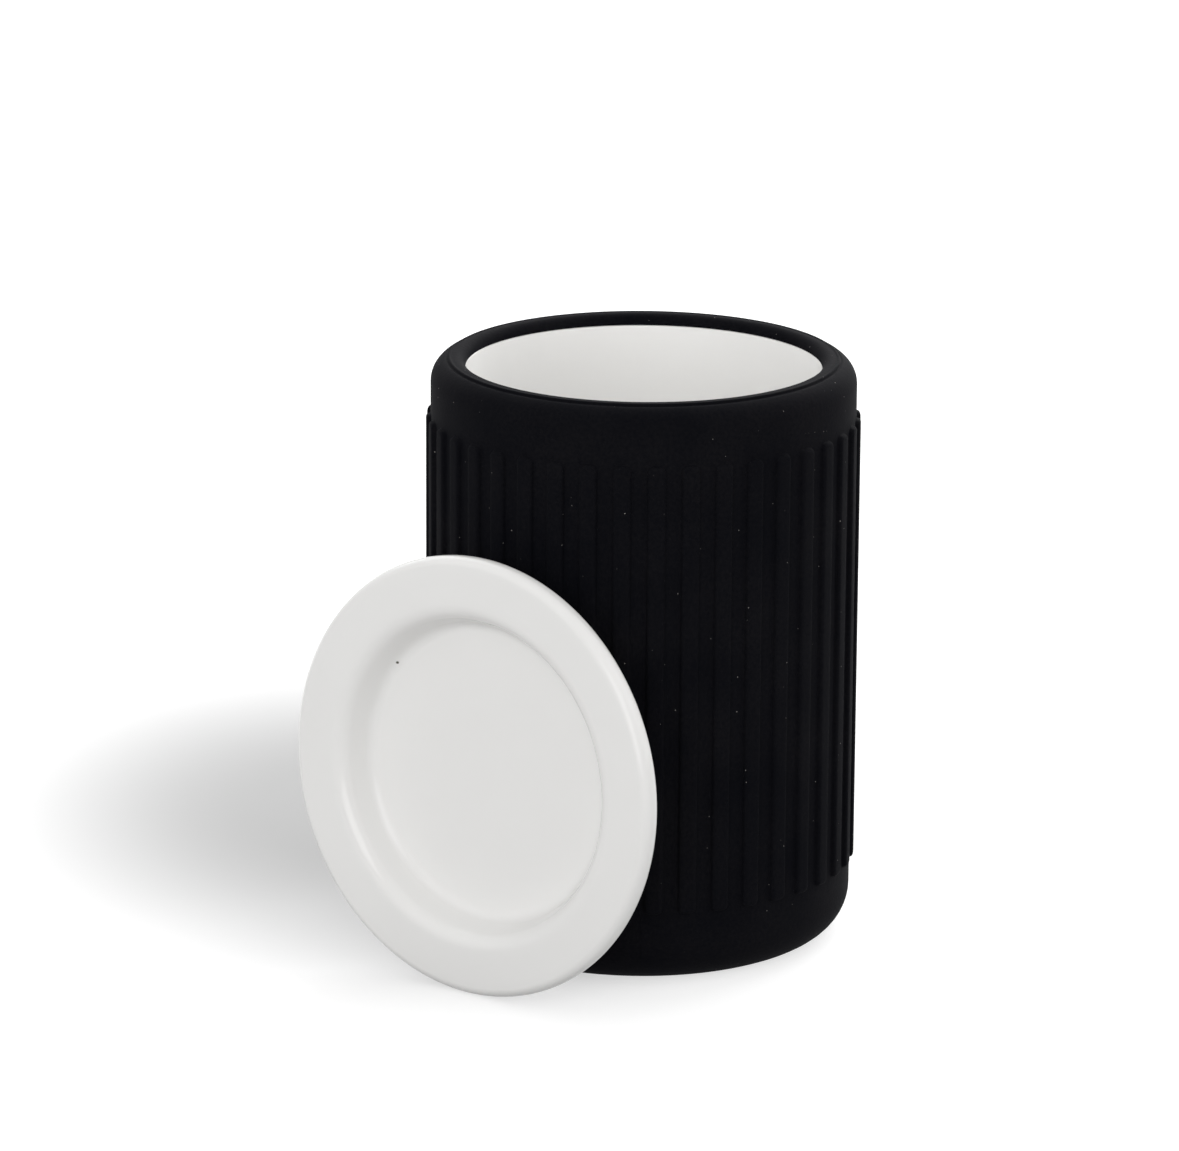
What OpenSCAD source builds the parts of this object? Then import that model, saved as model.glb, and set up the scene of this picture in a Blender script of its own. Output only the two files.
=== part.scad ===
// Porcelain storage jar in a ribbed silicone sleeve, with its lid taken off
// and leaned against the ribs. Millimetres, +Z up. The origin is on the jar's
// axis, on the surface that it stands on, and the lid leans on the -Y side.

/* [Sleeve] */
// Diameter of the smooth bands above and below the ribs
sleeve_d = 83; // [70:0.5:110]
// Height of the sleeve, from its base to the crest of its rim
sleeve_h = 115.6; // [90:0.1:160]
// Thickness of the wall and of the floor
sleeve_wall = 2.9; // [2:0.1:4]
// Radius of the rounded shoulder outside the crest of the rim
shoulder_r = 4.9; // [3:0.1:5.4]
// Radius of the rounded edge around the base
base_r = 9.2; // [5:0.1:14]
// Height of the straight edge of the lip, under its rounded part
lip_land = 0.2; // [0.1:0.05:1]
// Distance of the moulding bead outside the crest
bead_offset = 1.2; // [0.5:0.1:2]
// Radius of the moulding bead and of the groove that runs beside it
bead_r = 0.3; // [0.2:0.05:0.5]
// How far the bead stands out of the shoulder, and the groove sinks into it
bead_rise = 0.2; // [0.05:0.05:0.2]

/* [Ribs] */
// Number of upright ribs around the sleeve
rib_count = 40; // [24:1:48]
// Width of a rib
rib_w = 3.5; // [2.5:0.1:4]
// How far a rib stands proud of the smooth bands
rib_proud = 0.9; // [0.5:0.05:1.5]
// Radius of the long edges of a rib
rib_edge_r = 0.7; // [0.3:0.05:1]
// Radius of the corners at the ends of a rib
rib_corner_r = 1.1; // [0.3:0.1:1.2]
// Height of the smooth band below the ribs
low_band = 15.2; // [12:0.1:30]
// Height of the smooth band above the ribs
high_band = 11.2; // [8:0.1:30]

/* [Cup] */
// Thickness of the cup's wall
cup_wall = 3.8; // [2.5:0.1:6]
// Thickness of the cup's floor
cup_floor = 4.5; // [3:0.1:8]
// Radius between the wall and the floor inside the cup
cup_fillet = 6; // [2:0.5:12]
// Radius of both edges of the cup's rim
cup_rim_r = 0.3; // [0.3:0.1:1]

/* [Lid] */
// How far the lid's edge stands out past the ribs, when the lid is on
lid_overhang = 0.6; // [0:0.1:5]
// Thickness of the lid at its edge
lid_edge_t = 4.5; // [4.5:0.1:6]
// Radius of the lid's edge on the side of its flat face
lid_face_r = 1.9; // [0.8:0.1:2.1]
// Radius of the lid's edge on the side of its plug
lid_back_r = 2.2; // [1.5:0.1:2.3]
// Height of the plug that drops into the cup's mouth
plug_h = 6.8; // [6.3:0.1:8.5]
// Radius of the plug's lower edge
plug_edge_r = 1; // [0.5:0.1:2]
// Width of the flat ring around the recess, with the lid's edge
ring_w = 9; // [8.4:0.1:12]
// Thickness of the lid under its recess
lid_floor = 4.5; // [3:0.1:5.2]
// Slope of the side of the recess, in degrees from the lid's face
recess_slope = 68; // [50:1:80]
// Radius of the soft edge around the recess
recess_edge_r = 3.5; // [1:0.1:4]
// Radius between the side and the floor of the recess
recess_fillet = 2.5; // [1:0.1:2.8]

/* [Fit] */
// Gap between the cup and the sleeve, all round and under the lip
cup_gap = 0.1; // [0.05:0.05:0.3]
// Gap between the lid's plug and the cup's mouth, when the lid is on
plug_gap = 0.6; // [0.3:0.1:1]
// Gap between the leaning lid and the crowns of the ribs
lean_gap = 0.1; // [0.05:0.05:0.3]
// Lean of the lid from upright, in degrees
lean = 2.2; // [1:0.1:10]

/* [Hidden] */
$fn = 128;

SILICONE = [0.08, 0.08, 0.09];
PORCELAIN = [0.93, 0.93, 0.92];

// Steps around the small rounds
fine_fn = 32;
// Depth by which one solid runs into or past another in a cut
bite = 1;

sleeve_r = sleeve_d / 2;
rib_crown_r = sleeve_r + rib_proud;
crest_r = sleeve_r - shoulder_r;

cup_r = sleeve_r - sleeve_wall - cup_gap;
mouth_r = cup_r - cup_wall;
// The rim rounds down from its crest to the mouth's edge
lip_r = crest_r - mouth_r;
lip_z = sleeve_h - lip_r - lip_land;
// The cup stands on the sleeve's floor and ends under its lip
cup_base_z = sleeve_wall;
cup_top_z = lip_z - cup_gap;
cup_floor_z = cup_base_z + cup_floor;
// Radius around the cup's foot, larger than the sleeve's own round inside, so
// that only the flat base touches
pocket_r = base_r - sleeve_wall;
cup_foot_r = pocket_r + 3 * cup_gap;

// Angles of the bead and of the groove on the shoulder, down from its crest
bead_angle = asin(bead_offset / shoulder_r);
bead_half_w = sqrt(bead_r * bead_r - (bead_r - bead_rise) * (bead_r - bead_rise));
groove_angle = bead_angle + 2 * asin(bead_half_w / shoulder_r);

lid_r = rib_crown_r + lid_overhang;
lid_depth = lid_edge_t + plug_h;
// Depth, from the lid's face, of the middle of the round that it stands on
lid_foot_depth = lid_edge_t - lid_back_r;
plug_r = mouth_r - plug_gap;
recess_depth = lid_depth - lid_floor;
// Where the soft edge of the recess leaves the lid's flat face
recess_r = lid_r - ring_w;
// Where the flat floor of the recess ends
recess_floor_r = recess_r - recess_depth / tan(recess_slope)
    - (recess_edge_r + recess_fillet) * tan(recess_slope / 2);

// The lid stands on its edge and touches the ribs with its plug's upper edge
lid_mid_z = (lid_r - lid_back_r) * cos(lean) + lid_back_r;
plug_reach = (lid_depth - plug_edge_r - lid_foot_depth) * cos(lean)
    + (plug_r - plug_edge_r) * sin(lean) + plug_edge_r;
lid_mid_y = -(rib_crown_r + lean_gap + plug_reach);

rib_pitch = 360 / rib_count;
rib_top = sleeve_h - high_band;
rib_h = rib_top - low_band;

// What a quarter round of radius r leaves of a square corner at [0, 0],
// where the material lies on the -X and -Y sides
module corner_waste(r) {
    translate([-r, -r])
        difference() {
            square(r + bite);
            circle(r);
        }
}

// A rectangle from the axis out, with its outer corners rounded
module turned_block(r, z0, z1, low_r, high_r) {
    difference() {
        translate([0, z0])
            square([r, z1 - z0]);
        translate([r, z1])
            corner_waste(high_r);
        translate([r, z0])
            mirror([0, 1])
                corner_waste(low_r);
    }
}

// A small circle on the shoulder, at an angle down from its crest and with its
// middle off the surface by some height
module shoulder_dot(angle, height) {
    translate([crest_r, sleeve_h - shoulder_r])
        rotate(90 - angle)
            translate([shoulder_r + height, 0])
                circle(bead_r, $fn = fine_fn);
}

module sleeve_section() {
    difference() {
        union() {
            turned_block(sleeve_r, 0, sleeve_h, base_r, shoulder_r);
            shoulder_dot(bead_angle, bead_rise - bead_r);
        }
        shoulder_dot(groove_angle, bead_r - bead_rise);
        // Room for the cup
        difference() {
            translate([-bite, sleeve_wall])
                square([sleeve_r - sleeve_wall + bite, lip_z - sleeve_wall]);
            translate([sleeve_r - sleeve_wall, sleeve_wall])
                mirror([0, 1])
                    corner_waste(pocket_r);
        }
        // Mouth, with the lip's rounded edge
        translate([-bite, lip_z - bite])
            square([mouth_r + bite, sleeve_h - lip_z + 2 * bite]);
        translate([mouth_r, sleeve_h])
            mirror([1, 0])
                corner_waste(lip_r);
    }
}

// A rib as seen from above, pointing out along +X
module rib_plan() {
    difference() {
        translate([sleeve_r - bite, -rib_w / 2])
            square([rib_proud + bite, rib_w]);
        for (side = [0, 1])
            mirror([0, side])
                translate([rib_crown_r, rib_w / 2])
                    corner_waste(rib_edge_r, $fn = fine_fn);
    }
}

// A rib as seen from the side, with X out from the axis and Y up
module rib_side() {
    difference() {
        translate([sleeve_r - 2 * bite, low_band])
            square([rib_proud + 2 * bite, rib_h]);
        translate([rib_crown_r, rib_top])
            corner_waste(rib_edge_r, $fn = fine_fn);
        translate([rib_crown_r, low_band])
            mirror([0, 1])
                corner_waste(rib_edge_r, $fn = fine_fn);
    }
}

// A rib as seen from the front, with X across it and Y up
module rib_front() {
    difference() {
        translate([-rib_w / 2, low_band])
            square([rib_w, rib_h]);
        for (side = [0, 1])
            mirror([side, 0]) {
                translate([rib_w / 2, rib_top])
                    corner_waste(rib_corner_r, $fn = fine_fn);
                translate([rib_w / 2, low_band])
                    mirror([0, 1])
                        corner_waste(rib_corner_r, $fn = fine_fn);
            }
    }
}

module rib() {
    intersection() {
        linear_extrude(rib_top + bite)
            rib_plan();
        rotate([90, 0, 0])
            linear_extrude(rib_w + 2 * bite, center = true)
                rib_side();
        rotate([90, 0, 90])
            linear_extrude(rib_crown_r + bite)
                rib_front();
    }
}

module silicone_sleeve() {
    color(SILICONE) {
        rotate_extrude()
            sleeve_section();
        for (i = [0 : rib_count - 1])
            rotate(-90 + (i + 0.5) * rib_pitch)
                rib();
    }
}

module cup_section() {
    difference() {
        turned_block(cup_r, cup_base_z, cup_top_z, cup_foot_r, cup_rim_r);
        difference() {
            translate([-bite, cup_floor_z])
                square([mouth_r + bite, cup_top_z - cup_floor_z + bite]);
            translate([mouth_r, cup_floor_z])
                mirror([0, 1])
                    corner_waste(cup_fillet);
        }
        translate([mouth_r, cup_top_z])
            mirror([1, 0])
                corner_waste(cup_rim_r);
    }
}

module porcelain_cup() {
    color(PORCELAIN)
        rotate_extrude()
            cup_section();
}

// A point of a round of the recess, on the radius that meets the sloping side
function on_slope(x, y, r) = [x - r * sin(recess_slope), y - r * cos(recess_slope)];

// The recess, with X out from the axis and Y the depth from the lid's face
module recess_section() {
    fillet_y = recess_depth - recess_fillet;
    difference() {
        polygon([
            [-bite, -bite],
            [recess_r, -bite],
            [recess_r, recess_edge_r],
            on_slope(recess_r, recess_edge_r, recess_edge_r),
            on_slope(recess_floor_r, fillet_y, -recess_fillet),
            [recess_floor_r, fillet_y],
            [-bite, fillet_y]
        ]);
        translate([recess_r, recess_edge_r])
            circle(recess_edge_r);
    }
    translate([recess_floor_r, fillet_y])
        circle(recess_fillet);
    translate([-bite, fillet_y - recess_fillet])
        square([recess_floor_r + bite, 2 * recess_fillet]);
}

// Section of the lid: Y is depth from the recessed face to the plug's face
module lid_section() {
    difference() {
        union() {
            turned_block(lid_r, 0, lid_edge_t, lid_face_r, lid_back_r);
            turned_block(plug_r, lid_face_r, lid_depth, 0, plug_edge_r);
        }
        recess_section();
    }
}

module porcelain_lid() {
    color(PORCELAIN)
        translate([0, lid_mid_y, lid_mid_z])
            rotate([-90 - lean, 0, 0])
                translate([0, 0, -lid_foot_depth])
                    rotate_extrude()
                        lid_section();
}

porcelain_cup();
silicone_sleeve();
porcelain_lid();
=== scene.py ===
"""The looks of a porcelain jar in a ribbed silicone sleeve, with its lid leaning on it."""
import math

import bpy
import numpy as np
from mathutils import Matrix, Vector


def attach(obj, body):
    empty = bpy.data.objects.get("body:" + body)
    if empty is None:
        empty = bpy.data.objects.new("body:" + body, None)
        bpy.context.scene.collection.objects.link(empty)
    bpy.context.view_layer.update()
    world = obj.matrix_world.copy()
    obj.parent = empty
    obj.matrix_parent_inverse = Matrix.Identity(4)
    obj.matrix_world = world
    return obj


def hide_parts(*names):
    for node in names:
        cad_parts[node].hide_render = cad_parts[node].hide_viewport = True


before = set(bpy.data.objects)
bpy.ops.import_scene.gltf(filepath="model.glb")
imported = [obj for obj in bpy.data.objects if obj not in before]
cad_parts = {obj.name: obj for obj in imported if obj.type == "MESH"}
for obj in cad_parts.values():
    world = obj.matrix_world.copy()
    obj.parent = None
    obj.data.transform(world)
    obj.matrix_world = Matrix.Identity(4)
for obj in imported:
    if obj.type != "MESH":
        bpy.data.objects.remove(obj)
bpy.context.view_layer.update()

# Camera, as the photograph was taken: lengths in metres, angles in degrees
IMAGE_W, IMAGE_H = 1179, 1151
FOCAL_PX = 6470
CAMERA_DISTANCE = 1.2729
CAMERA_AZIMUTH = 36.9
CAMERA_ELEVATION = 16.217
CAMERA_ROLL = 0.4826
AIM_HEIGHT = 0.060
AIM_PIXEL = (641.72, 630.73)

FLOOR_SIZE = 8.0
# The floor is plain white outside an oval around the jar's shadow; inside the oval its glow is held back, a
# painted shadow that deepens the lamps' cast shadow: the oval's middle and half axes in metres, its turn in
# degrees, the share of it that is all painted shadow, and the floor's glow there and outside
SHADOW_PLACE, SHADOW_REACH, SHADOW_TURN = (-0.0888, 0.0225, 0), (0.1492, 0.1114, 1), -44.3
SHADOW_CORE = 0.19
GLOW_IN_SHADOW, GLOW_OUTSIDE = 0.0, 0.69
# The floor's colour as seen, and as it lights the object
FLOOR_SEEN, FLOOR_BOUNCE = 0.45, 0.35
WORLD_STRENGTH = 0.39

# Lamps: name, azimuth from the camera and elevation in degrees, distance and size in metres, and watts for
# each square metre. They face a point on the jar's axis at a height in metres
LAMP_AIM_HEIGHT = 0.05
LAMPS = (
    ("key", 50, 45, 2.0, 1.6, 1.3),
    ("right", 88, 28, 2.0, 1.6, 3.2),
    ("front", -12, 19, 2.0, 1.3, 9.5),
    ("left", -68, 30, 2.0, 1.8, 1.7),
    ("back", 155, 38, 2.0, 1.8, 13.8),
    ("back_left", -150, 45, 2.0, 1.6, 5.0),
)

# The sleeve, in millimetres, with the same sizes as its solid
MM = 0.001
SLEEVE_R, SLEEVE_H = 41.5, 115.6
CREST_R, SHOULDER_R, BASE_R = 36.6, 4.9, 9.2
MOUTH_R, LIP_R, LIP_Z = 34.7, 1.9, 113.5
POCKET_WALL_R, POCKET_R, POCKET_Z = 38.6, 6.3, 2.9
# The bead and the groove on the shoulder, in degrees down from its crest, and half the bead's reach there
BEAD_ANGLE, GROOVE_ANGLE = 14.18, 20.8
BEAD_REACH, GROOVE_REACH = 3.04, 2.6
BEAD_R, BEAD_RISE = 0.3, 0.2
RIB_COUNT, RIB_W, RIB_PROUD = 40, 3.5, 0.9
RIB_EDGE_R, RIB_CORNER_R = 0.7, 1.1
RIB_LOW, RIB_HIGH = 15.2, 104.4
# How far the foot of a rib spreads out from its side, as silicone leaves a mould
RIB_FOOT = 0.16

# The cup, in millimetres
CUP_R, CUP_BASE_Z, CUP_FLOOR_Z, CUP_TOP_Z = 38.5, 2.9, 7.4, 113.4
CUP_FOOT_R, CUP_FILLET, CUP_RIM_R = 6.6, 6, 0.3

# The lid, in millimetres: depths are from its recessed face
LID_R, LID_FACE_R, LID_BACK_R, LID_EDGE_T = 43.0, 1.9, 2.2, 4.5
PLUG_R, PLUG_EDGE_R, LID_DEPTH = 34.1, 1, 11.3
RECESS_R, RECESS_DEPTH, RECESS_EDGE_R, RECESS_FILLET = 34.0, 6.8, 3.5, 2.5
# The steepness of the recess's side and the lid's lean, in degrees, and the place of its edge's middle
RECESS_SLOPE = 68
LID_LEAN, LID_Y, LID_Z = 2.2, -52.7647, 42.97

# A dark speck that the kiln left in the lid's glaze, in metres
SPECK_PLACE, SPECK_RADIUS = (-0.02275, -0.04815, 0.06042), 0.0004

# The plane of the mould's seam, turned from the front about the jar's axis, and its half width in metres
SEAM_ANGLE = math.radians(37)
SEAM_REACH = 0.00025

# Dust on the silicone: cells in a metre, a speck's size in cells, and the share of cells without one
DUST_SCALE, DUST_RADIUS, DUST_CHANCE = 700, 0.085, 0.84


def on_dial(azimuth, elevation, distance, height=0.0):
    """A point around the jar: azimuth 0 is in front of the leaning lid, and it grows towards +X."""
    a, e = math.radians(azimuth), math.radians(elevation)
    level = distance * math.cos(e)
    return Vector((level * math.sin(a), -level * math.cos(a), height + distance * math.sin(e)))


def look_at(place, target):
    """A rotation whose -Z points from place to target, with its Y upwards."""
    return (target - place).to_track_quat("-Z", "Y").to_matrix()


def add_camera():
    """The photograph's camera, turned so that the jar's axis meets its pixel."""
    data = bpy.data.cameras.new("camera")
    data.sensor_fit = "HORIZONTAL"
    data.sensor_width = 36.0
    data.lens = FOCAL_PX * data.sensor_width / IMAGE_W
    data.clip_start = 0.05
    data.clip_end = 50.0
    target = Vector((0, 0, AIM_HEIGHT))
    place = on_dial(CAMERA_AZIMUTH, CAMERA_ELEVATION, CAMERA_DISTANCE, AIM_HEIGHT)
    # The ray, in the camera's own axes, that has to meet the target
    ray = Vector(((AIM_PIXEL[0] - IMAGE_W / 2) / FOCAL_PX, -(AIM_PIXEL[1] - IMAGE_H / 2) / FOCAL_PX, -1))
    swing = Vector((0, 0, -1)).rotation_difference(ray.normalized()).to_matrix()
    roll = Matrix.Rotation(math.radians(-CAMERA_ROLL), 3, "Z")
    turn = look_at(place, target) @ (swing @ roll).transposed()
    camera = bpy.data.objects.new("camera", data)
    camera.matrix_world = Matrix.Translation(place) @ turn.to_4x4()
    bpy.context.scene.collection.objects.link(camera)
    bpy.context.scene.camera = camera


def add_lamp(name, azimuth, elevation, distance, size, strength):
    """A square soft light that faces the jar. Its strength is in watts for each square metre of lamp."""
    data = bpy.data.lights.new(name, "AREA")
    data.shape = "SQUARE"
    data.size = size
    data.energy = strength * size * size
    lamp = bpy.data.objects.new(name, data)
    place = on_dial(CAMERA_AZIMUTH + azimuth, elevation, distance)
    lamp.matrix_world = Matrix.Translation(place) @ look_at(place, Vector((0, 0, LAMP_AIM_HEIGHT))).to_4x4()
    bpy.context.scene.collection.objects.link(lamp)
    return lamp


def seen_rays(nodes, links):
    """1 for camera, glossy and transmission rays, and 0 for the rays that carry light to a matt surface."""
    path = nodes.new("ShaderNodeLightPath")
    total = path.outputs["Is Camera Ray"]
    for ray in ("Is Glossy Ray", "Is Transmission Ray"):
        either = nodes.new("ShaderNodeMath")
        either.operation = "MAXIMUM"
        links.new(total, either.inputs[0])
        links.new(path.outputs[ray], either.inputs[1])
        total = either.outputs[0]
    return total


def add_world():
    """White for the camera and in glossy rays, and a plain soft light for the rest."""
    world = bpy.data.worlds.new("studio")
    world.use_nodes = True
    bpy.context.scene.world = world
    nodes, links = world.node_tree.nodes, world.node_tree.links
    nodes.clear()
    out = nodes.new("ShaderNodeOutputWorld")
    mix = nodes.new("ShaderNodeMixShader")
    soft = nodes.new("ShaderNodeBackground")
    white = nodes.new("ShaderNodeBackground")
    soft.inputs["Color"].default_value = (1, 1, 1, 1)
    soft.inputs["Strength"].default_value = WORLD_STRENGTH
    white.inputs["Color"].default_value = (1, 1, 1, 1)
    white.inputs["Strength"].default_value = 1.0
    links.new(seen_rays(nodes, links), mix.inputs["Fac"])
    links.new(soft.outputs["Background"], mix.inputs[1])
    links.new(white.outputs["Background"], mix.inputs[2])
    links.new(mix.outputs["Shader"], out.inputs["Surface"])


def material(name):
    """A new material with its nodes cleared, its links and its output's surface socket."""
    m = bpy.data.materials.new(name)
    m.use_nodes = True
    m.node_tree.nodes.clear()
    out = m.node_tree.nodes.new("ShaderNodeOutputMaterial")
    return m, m.node_tree.nodes, m.node_tree.links, out.inputs["Surface"]


def add(nodes, kind, **values):
    """A node of a kind, with the given properties set."""
    n = nodes.new("ShaderNode" + kind)
    for key, value in values.items():
        setattr(n, key, value)
    return n


def floor_material():
    """Plain white that keeps the lamps' shadows, with a glow for seen rays only that is held back in an
    oval round the jar's shadow, painting shadow there.
    """
    m, nodes, links, surface = material("floor_white")
    white = add(nodes, "BsdfDiffuse")
    glow = add(nodes, "Emission")
    seen = seen_rays(nodes, links)
    tone = add(nodes, "MapRange")
    tone.inputs["To Min"].default_value = FLOOR_BOUNCE
    tone.inputs["To Max"].default_value = FLOOR_SEEN
    links.new(seen, tone.inputs["Value"])
    links.new(tone.outputs["Result"], white.inputs["Color"])
    place = add(nodes, "TexCoord")
    # Painted shadow: inside this oval around the jar's shadow the glow is held back, so the floor there
    # stays darker than the lit floor elsewhere
    oval = add(nodes, "Mapping", vector_type="TEXTURE")
    oval.inputs["Location"].default_value = SHADOW_PLACE
    oval.inputs["Rotation"].default_value = (0, 0, math.radians(SHADOW_TURN))
    oval.inputs["Scale"].default_value = SHADOW_REACH
    links.new(place.outputs["Object"], oval.inputs["Vector"])
    reach = add(nodes, "VectorMath", operation="LENGTH")
    links.new(oval.outputs["Vector"], reach.inputs[0])
    far = add(nodes, "MapRange", interpolation_type="SMOOTHSTEP")
    far.inputs["From Min"].default_value = SHADOW_CORE
    far.inputs["To Min"].default_value = GLOW_IN_SHADOW
    far.inputs["To Max"].default_value = GLOW_OUTSIDE
    links.new(reach.outputs["Value"], far.inputs["Value"])
    amount = add(nodes, "Math", operation="MULTIPLY")
    links.new(seen, amount.inputs[0])
    links.new(far.outputs["Result"], amount.inputs[1])
    links.new(amount.outputs[0], glow.inputs["Strength"])
    both = add(nodes, "AddShader")
    links.new(white.outputs[0], both.inputs[0])
    links.new(glow.outputs[0], both.inputs[1])
    links.new(both.outputs[0], surface)
    return m


def add_floor():
    """A plain square floor that isn't part of the object."""
    half = FLOOR_SIZE / 2
    mesh = bpy.data.meshes.new("floor")
    corners = [(-half, -half, 0), (half, -half, 0), (half, half, 0), (-half, half, 0)]
    mesh.from_pydata(corners, [], [(0, 1, 2, 3)])
    mesh.materials.append(floor_material())
    floor = bpy.data.objects.new("floor", mesh)
    bpy.context.scene.collection.objects.link(floor)


def porcelain_material():
    """White glaze with a slight cloud of tone, a very slight ripple and one dark speck."""
    m, nodes, links, surface = material("porcelain_glaze")
    skin = add(nodes, "BsdfPrincipled")
    skin.inputs["Specular IOR Level"].default_value = 0.3
    place = add(nodes, "TexCoord")
    cloud = add(nodes, "TexNoise")
    cloud.inputs["Scale"].default_value = 45
    cloud.inputs["Detail"].default_value = 3
    links.new(place.outputs["Object"], cloud.inputs["Vector"])
    tint = add(nodes, "ValToRGB")
    tint.color_ramp.elements[0].color = (0.848, 0.842, 0.828, 1)
    tint.color_ramp.elements[1].color = (0.870, 0.865, 0.852, 1)
    links.new(cloud.outputs["Fac"], tint.inputs["Fac"])
    away = add(nodes, "VectorMath", operation="DISTANCE")
    links.new(place.outputs["Object"], away.inputs[0])
    away.inputs[1].default_value = SPECK_PLACE
    fired = add(nodes, "MapRange", interpolation_type="SMOOTHSTEP")
    fired.inputs["From Min"].default_value = SPECK_RADIUS * 0.5
    fired.inputs["From Max"].default_value = SPECK_RADIUS
    links.new(away.outputs["Value"], fired.inputs["Value"])
    marked = add(nodes, "Mix", data_type="RGBA")
    links.new(fired.outputs["Result"], marked.inputs["Factor"])
    marked.inputs[6].default_value = (0.10, 0.09, 0.07, 1)
    links.new(tint.outputs["Color"], marked.inputs[7])
    links.new(marked.outputs[2], skin.inputs["Base Color"])
    gloss = add(nodes, "MapRange")
    gloss.inputs["To Min"].default_value = 0.05
    gloss.inputs["To Max"].default_value = 0.09
    links.new(cloud.outputs["Fac"], gloss.inputs["Value"])
    links.new(gloss.outputs["Result"], skin.inputs["Roughness"])
    ripple = add(nodes, "TexNoise")
    ripple.inputs["Scale"].default_value = 110
    ripple.inputs["Detail"].default_value = 1
    links.new(place.outputs["Object"], ripple.inputs["Vector"])
    bump = add(nodes, "Bump")
    bump.inputs["Strength"].default_value = 0.25
    bump.inputs["Distance"].default_value = 0.0002
    links.new(ripple.outputs["Fac"], bump.inputs["Height"])
    links.new(bump.outputs["Normal"], skin.inputs["Normal"])
    links.new(skin.outputs[0], surface)
    return m


def silicone_material():
    """Matt black rubber with a fine grain, a moulding seam on its lower band and specks of dust."""
    m, nodes, links, surface = material("silicone_black")
    skin = add(nodes, "BsdfPrincipled")
    skin.inputs["Specular IOR Level"].default_value = 0.03
    place = add(nodes, "TexCoord").outputs["Object"]
    grain = add(nodes, "TexNoise")
    grain.inputs["Scale"].default_value = 1500
    grain.inputs["Detail"].default_value = 3
    links.new(place, grain.inputs["Vector"])
    cloud = add(nodes, "TexNoise")
    cloud.inputs["Scale"].default_value = 60
    cloud.inputs["Detail"].default_value = 4
    links.new(place, cloud.inputs["Vector"])
    patch = add(nodes, "Math", operation="MULTIPLY")
    links.new(grain.outputs["Fac"], patch.inputs[0])
    links.new(cloud.outputs["Fac"], patch.inputs[1])
    tint = add(nodes, "ValToRGB")
    tint.color_ramp.elements[0].position = 0.10
    tint.color_ramp.elements[0].color = (0.0020, 0.0022, 0.0036, 1)
    tint.color_ramp.elements[1].position = 0.42
    tint.color_ramp.elements[1].color = (0.0062, 0.0060, 0.0074, 1)
    links.new(patch.outputs[0], tint.inputs["Fac"])
    # One cell in a few holds a speck, where the cell's own random value is high
    cells = add(nodes, "TexVoronoi", feature="F1")
    cells.inputs["Scale"].default_value = DUST_SCALE
    links.new(place, cells.inputs["Vector"])
    chance = add(nodes, "SeparateColor")
    links.new(cells.outputs["Color"], chance.inputs["Color"])
    near = add(nodes, "Math", operation="LESS_THAN")
    links.new(cells.outputs["Distance"], near.inputs[0])
    near.inputs[1].default_value = DUST_RADIUS
    picked = add(nodes, "Math", operation="GREATER_THAN")
    links.new(chance.outputs["Red"], picked.inputs[0])
    picked.inputs[1].default_value = DUST_CHANCE
    speck = add(nodes, "Math", operation="MULTIPLY")
    links.new(near.outputs[0], speck.inputs[0])
    links.new(picked.outputs[0], speck.inputs[1])
    level = add(nodes, "Math", operation="MULTIPLY")
    links.new(speck.outputs[0], level.inputs[0])
    links.new(chance.outputs["Green"], level.inputs[1])
    dusty = add(nodes, "Mix", data_type="RGBA")
    links.new(level.outputs[0], dusty.inputs["Factor"])
    links.new(tint.outputs["Color"], dusty.inputs[6])
    dusty.inputs[7].default_value = (0.20, 0.19, 0.18, 1)
    links.new(dusty.outputs[2], skin.inputs["Base Color"])
    bump = add(nodes, "Bump")
    bump.inputs["Strength"].default_value = 0.5
    bump.inputs["Distance"].default_value = 0.0001
    links.new(grain.outputs["Fac"], bump.inputs["Height"])
    # The seam is a fine groove up the lower band, on the plane that the mould's halves share
    spot = add(nodes, "SeparateXYZ")
    links.new(place, spot.inputs[0])
    across = add(nodes, "VectorMath", operation="DOT_PRODUCT")
    links.new(place, across.inputs[0])
    across.inputs[1].default_value = (math.cos(SEAM_ANGLE), math.sin(SEAM_ANGLE), 0)
    aside = add(nodes, "Math", operation="ABSOLUTE")
    links.new(across.outputs["Value"], aside.inputs[0])
    groove = add(nodes, "MapRange", interpolation_type="SMOOTHSTEP")
    groove.inputs["From Max"].default_value = SEAM_REACH
    links.new(aside.outputs[0], groove.inputs["Value"])
    low = add(nodes, "Math", operation="GREATER_THAN")
    links.new(spot.outputs["Z"], low.inputs[0])
    low.inputs[1].default_value = RIB_LOW * MM
    flat = add(nodes, "Math", operation="MAXIMUM")
    links.new(groove.outputs["Result"], flat.inputs[0])
    links.new(low.outputs[0], flat.inputs[1])
    seam = add(nodes, "Bump")
    seam.inputs["Strength"].default_value = 0.6
    seam.inputs["Distance"].default_value = 0.00012
    links.new(flat.outputs[0], seam.inputs["Height"])
    links.new(bump.outputs["Normal"], seam.inputs["Normal"])
    links.new(seam.outputs["Normal"], skin.inputs["Normal"])
    gloss = add(nodes, "MapRange")
    gloss.inputs["To Min"].default_value = 0.72
    gloss.inputs["To Max"].default_value = 0.86
    links.new(grain.outputs["Fac"], gloss.inputs["Value"])
    links.new(gloss.outputs["Result"], skin.inputs["Roughness"])
    links.new(skin.outputs[0], surface)
    return m


def arc(r, z, radius, start, end, steps):
    """Points around (r, z) between two angles in degrees, where 0 points outwards and 90 upwards."""
    a = np.radians(np.linspace(start, end, steps))
    return [(r + radius * math.cos(t), z + radius * math.sin(t)) for t in a]


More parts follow.
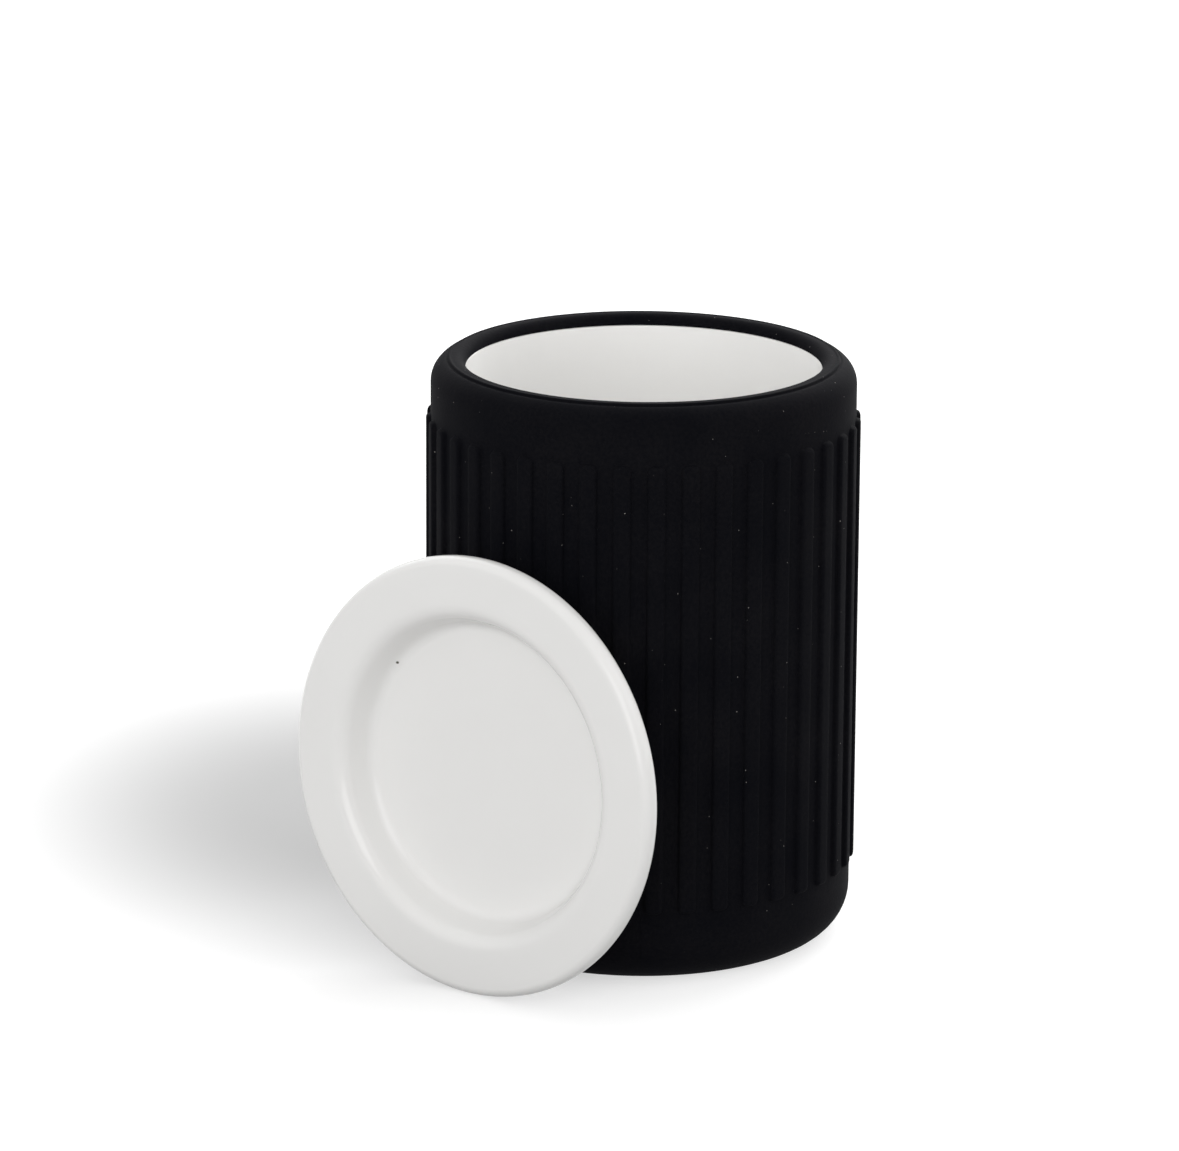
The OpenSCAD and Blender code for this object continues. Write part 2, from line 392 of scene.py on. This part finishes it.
def shoulder(steps):
    """The sleeve's rounded shoulder from its crest down, with the bead and the groove on it."""
    fine = list(np.linspace(BEAD_ANGLE - BEAD_REACH, BEAD_ANGLE + BEAD_REACH, 9))
    fine += list(np.linspace(GROOVE_ANGLE - GROOVE_REACH, GROOVE_ANGLE + BEAD_REACH, 8))
    coarse = [a for a in np.linspace(0, 90, steps) if not fine[0] - 1 < a < fine[-1] + 1]
    points = []
    for a in sorted(fine + coarse):
        reach = SHOULDER_R
        for middle, side in ((BEAD_ANGLE, 1), (GROOVE_ANGLE, -1)):
            off = math.radians(a - middle)
            centre = SHOULDER_R - side * (BEAD_R - BEAD_RISE)
            inside = BEAD_R ** 2 - (centre * math.sin(off)) ** 2
            if abs(off) < 0.2 and inside > 0:
                bump = centre * math.cos(off) + side * math.sqrt(inside)
                reach = max(reach, bump) if side > 0 else min(reach, bump)
        t = math.radians(90 - a)
        points.append((CREST_R + reach * math.cos(t), SLEEVE_H - SHOULDER_R + reach * math.sin(t)))
    return points


def sleeve_profile():
    """The sleeve's section as (r, z): down its outside from the lip, under the base, and up its inside."""
    end = np.array([-0.30, -0.14, -0.04, 0.05, 0.16, 0.32, 0.52, 0.75, 1.1, 1.6])
    ends = list(RIB_HIGH - end) + list(np.linspace(RIB_HIGH - 8, RIB_LOW + 8, 11))
    ends += list((RIB_LOW + end)[::-1])
    outside = [(MOUTH_R, LIP_Z)] + arc(CREST_R, SLEEVE_H - LIP_R, LIP_R, 180, 90, 10)[:-1]
    outside += shoulder(19)
    outside += [(SLEEVE_R, z) for z in [108.0, 105.4] + ends + [13.6, 11.4]]
    outside += arc(SLEEVE_R - BASE_R, BASE_R, BASE_R, 0, -90, 14) + [(16, 0), (0, 0)]
    inside = [(0, POCKET_Z), (16, POCKET_Z)] + arc(POCKET_WALL_R - POCKET_R, BASE_R, POCKET_R, -90, 0, 7)
    return outside + inside + [(POCKET_WALL_R, LIP_Z), (MOUTH_R, LIP_Z)], len(outside)


def rib_height(across, z):
    """How far a rib stands out, at a distance across it from its middle line and at a height."""
    half_w, half_h = RIB_W / 2, (RIB_HIGH - RIB_LOW) / 2
    x = np.abs(across) - (half_w - RIB_CORNER_R)
    y = np.abs(z - (RIB_LOW + RIB_HIGH) / 2) - (half_h - RIB_CORNER_R)
    outside = np.hypot(np.maximum(x, 0), np.maximum(y, 0)) + np.minimum(np.maximum(x, y), 0)
    depth = RIB_CORNER_R - outside
    crown = RIB_EDGE_R - np.clip(RIB_EDGE_R - depth, 0, RIB_EDGE_R)
    round_top = RIB_PROUD - RIB_EDGE_R + np.sqrt(RIB_EDGE_R ** 2 - (RIB_EDGE_R - crown) ** 2)
    foot = np.clip((depth + RIB_FOOT) / (RIB_FOOT * 1.5), 0, 1)
    return round_top * foot * foot * (3 - 2 * foot)


def cup_profile():
    """The cup's section as (r, z): down its outside, under its foot, and up its inside."""
    outside = arc(CUP_R - CUP_RIM_R, CUP_TOP_Z - CUP_RIM_R, CUP_RIM_R, 90, 0, 6)
    outside += [(CUP_R, z) for z in (90, 65, 40)]
    outside += arc(CUP_R - CUP_FOOT_R, CUP_BASE_Z + CUP_FOOT_R, CUP_FOOT_R, 0, -90, 8)
    inside = [(0, CUP_BASE_Z), (0, CUP_FLOOR_Z), (14, CUP_FLOOR_Z)]
    inside += arc(MOUTH_R - CUP_FILLET, CUP_FLOOR_Z + CUP_FILLET, CUP_FILLET, -90, 0, 12)
    inside += [(MOUTH_R, z) for z in np.linspace(20, 105, 9)]
    return outside + inside + arc(MOUTH_R + CUP_RIM_R, CUP_TOP_Z - CUP_RIM_R, CUP_RIM_R, 180, 90, 6)


def recess_profile():
    """The recess from the face down to its floor: a convex round, a steep side and a concave round."""
    slope = math.radians(RECESS_SLOPE)
    rounds = (RECESS_EDGE_R + RECESS_FILLET) * math.tan(slope / 2)
    floor_r = RECESS_R - RECESS_DEPTH / math.tan(slope) - rounds
    edge = arc(RECESS_R, RECESS_EDGE_R, RECESS_EDGE_R, -90, -90 - RECESS_SLOPE, 14)
    fillet = arc(floor_r, RECESS_DEPTH - RECESS_FILLET, RECESS_FILLET, 90 - RECESS_SLOPE, 90, 12)
    (r0, d0), (r1, d1) = edge[-1], fillet[0]
    return edge + [(r0 + (r1 - r0) * t, d0 + (d1 - d0) * t) for t in (1 / 3, 2 / 3)] + fillet


def lid_profile():
    """The lid's section as (r, depth), from its recess's middle over its edge to its plug's middle."""
    edge = arc(LID_R - LID_FACE_R, LID_FACE_R, LID_FACE_R, -90, 0, 12)
    back = arc(LID_R - LID_BACK_R, LID_EDGE_T - LID_BACK_R, LID_BACK_R, 0, 90, 12)
    plug = arc(PLUG_R - PLUG_EDGE_R, LID_DEPTH - PLUG_EDGE_R, PLUG_EDGE_R, 0, 90, 6)
    face = [(r, RECESS_DEPTH) for r in (0, 9, 18)] + recess_profile()[::-1]
    face += [(r, 0) for r in (35.5, 37.5, 39.5)]
    foot = [(PLUG_R, LID_EDGE_T)] + plug + [(r, LID_DEPTH) for r in (17, 0)]
    return face + edge + back + foot


def lathe(section, steps, closed=False):
    """The points and faces of a section turned about Z. A closed section joins its end to its start."""
    turn = np.linspace(0, 2 * math.pi, steps, endpoint=False)
    verts, rings, faces = [], [], []
    for r, z in section:
        n = 1 if r == 0 else steps
        rings.append(list(range(len(verts), len(verts) + n)))
        verts += [(r * math.cos(t), r * math.sin(t), z) for t in turn[:n]]
    if closed:
        rings.append(rings[0])
    for a, b in zip(rings, rings[1:]):
        faces += ring_faces(a, b)
    return verts, faces


def ring_faces(a, b):
    """The faces between two rings of points. A ring of one point is a tip on the axis."""
    n = max(len(a), len(b))
    faces = []
    for k in range(n):
        m = (k + 1) % n
        if len(a) == len(b) == n and n > 1:
            faces.append((a[m], a[k], b[k], b[m]))
        elif len(a) > 1:
            faces.append((a[m], a[k], b[0]))
        elif len(b) > 1:
            faces.append((a[0], b[k], b[m]))
    return faces


def build_cup(finish):
    """The cup, turned round its axis."""
    verts, faces = lathe(cup_profile(), 256, closed=True)
    return mesh_piece("porcelain_body", verts, faces, finish, "porcelain_cup")


def build_lid(finish):
    """The lid, turned round its axis and then leant against the ribs with its recess outwards."""
    verts, faces = lathe(lid_profile(), 288)
    place = Matrix.Translation((0, LID_Y, LID_Z)) @ Matrix.Rotation(math.radians(-90 - LID_LEAN), 4, "X")
    place = place @ Matrix.Translation((0, 0, LID_BACK_R - LID_EDGE_T))
    verts = [tuple(place @ Vector(v)) for v in verts]
    return mesh_piece("leaning_lid", verts, [f[::-1] for f in faces], finish, "porcelain_lid")


def mesh_piece(name, verts, faces, finish, node):
    """A smooth mesh in millimetres that stands for a CAD node."""
    mesh = bpy.data.meshes.new(name)
    mesh.from_pydata([tuple(v) for v in np.asarray(verts) * MM], [], faces)
    mesh.polygons.foreach_set("use_smooth", [True] * len(mesh.polygons))
    mesh.materials.append(finish)
    piece = bpy.data.objects.new(name, mesh)
    bpy.context.scene.collection.objects.link(piece)
    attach(piece, "root")
    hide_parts(node)
    return piece


def build_sleeve(finish):
    """The sleeve: a ring of points for each point of its section, pushed out where the ribs are."""
    half = np.array([0.5, 1.02, 1.26, 1.46, 1.62, 1.73, 1.81, 1.91, 2.45])
    across = np.concatenate([-half[::-1], [0], half])
    pitch = 2 * math.pi / RIB_COUNT
    turn = np.concatenate([(i + 0.5) * pitch - math.pi / 2 + across / SLEEVE_R for i in range(RIB_COUNT)])
    across = np.tile(across, RIB_COUNT)
    section, outer = sleeve_profile()
    verts, rings = [], []
    for i, (r, z) in enumerate(section):
        if r == 0:
            rings.append([len(verts)])
            verts.append((0, 0, z))
            continue
        ribbed = i < outer and abs(r - SLEEVE_R) < 1e-6
        reach = r + (rib_height(across, z) if ribbed else 0 * across)
        rings.append(list(range(len(verts), len(verts) + len(turn))))
        verts += list(zip(reach * np.cos(turn), reach * np.sin(turn), np.full(len(turn), z)))
    # The section ends where it starts, so the last ring is the first
    rings[-1] = rings[0]
    verts = verts[:len(verts) - len(turn)]
    faces = []
    for a, b in zip(rings, rings[1:]):
        faces += ring_faces(a, b)
    return mesh_piece("ribbed_sleeve", verts, faces, finish, "silicone_sleeve")


add_camera()
add_world()
add_floor()
for lamp in LAMPS:
    add_lamp(*lamp)
porcelain = porcelain_material()
build_cup(porcelain)
build_lid(porcelain)
build_sleeve(silicone_material())
bpy.context.scene.view_settings.view_transform = "Standard"
